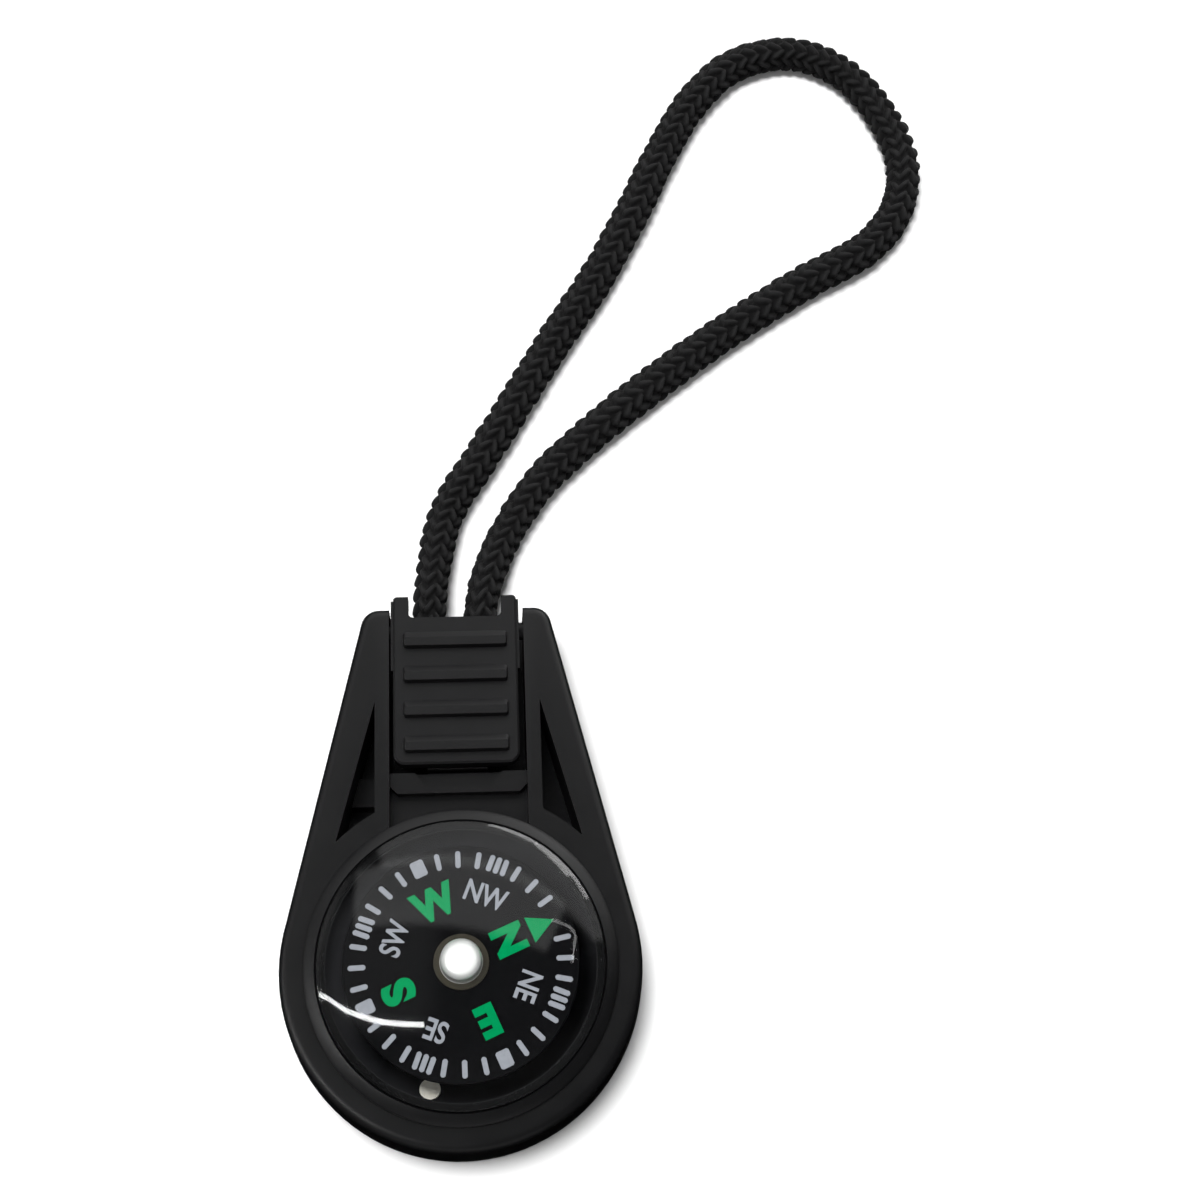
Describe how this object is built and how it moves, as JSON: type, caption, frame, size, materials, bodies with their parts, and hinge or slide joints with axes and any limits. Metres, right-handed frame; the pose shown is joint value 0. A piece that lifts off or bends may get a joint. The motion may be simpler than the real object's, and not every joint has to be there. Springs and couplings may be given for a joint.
{
  "type": "liquid-filled direction compass on a cord loop",
  "caption": "Teardrop compass with a domed liquid capsule, a turning dial card, a hinged ribbed clamp lid and a knitted cord loop.",
  "frame": {"origin": "on the dial axis at the housing's flat back face", "axes": "+X to the right seen from the front, +Y from the dial towards the cord, +Z out of the dial"},
  "size_m": [0.055, 0.0967, 0.0099],
  "materials": {
    "housing_plastic": "fine mould texture, matte",
    "capsule_plastic": "smooth black",
    "clear_lens": "clear polished acrylic",
    "plug_plastic": "pale polymer",
    "pin_steel": "ground steel",
    "jewel_glass": "polished bearing jewel",
    "cap_metal": "nickel plated, satin polish",
    "card_print": "black card with green and pale grey print",
    "magnet_metal": "sintered magnet, dull grey",
    "cord_fabric": "black knitted polyester cord"
  },
  "bodies": {
    "case": {"housing": "housing_plastic", "capsule_cup": "capsule_plastic", "lens_dome": "clear_lens", "filler_plug": "plug_plastic", "pivot_pin": "pin_steel", "cord_loop": "cord_fabric"},
    "card": {"dial_card": "card_print", "magnet": "magnet_metal", "bearing_cap": "cap_metal", "jewel": "jewel_glass"},
    "lid": {"clamp_lid": "housing_plastic"}
  },
  "joints": [
    {"name": "card_spin", "type": "hinge", "parent": "case", "child": "card", "pos_m": [0, 0, 0.006], "axis": [0, 0, 1], "continuous": true},
    {"name": "lid_hinge", "type": "hinge", "parent": "case", "child": "lid", "pos_m": [0, 0.026, 0.0047], "axis": [-1, 0, 0], "range_deg": [0, 90]}
  ]
}
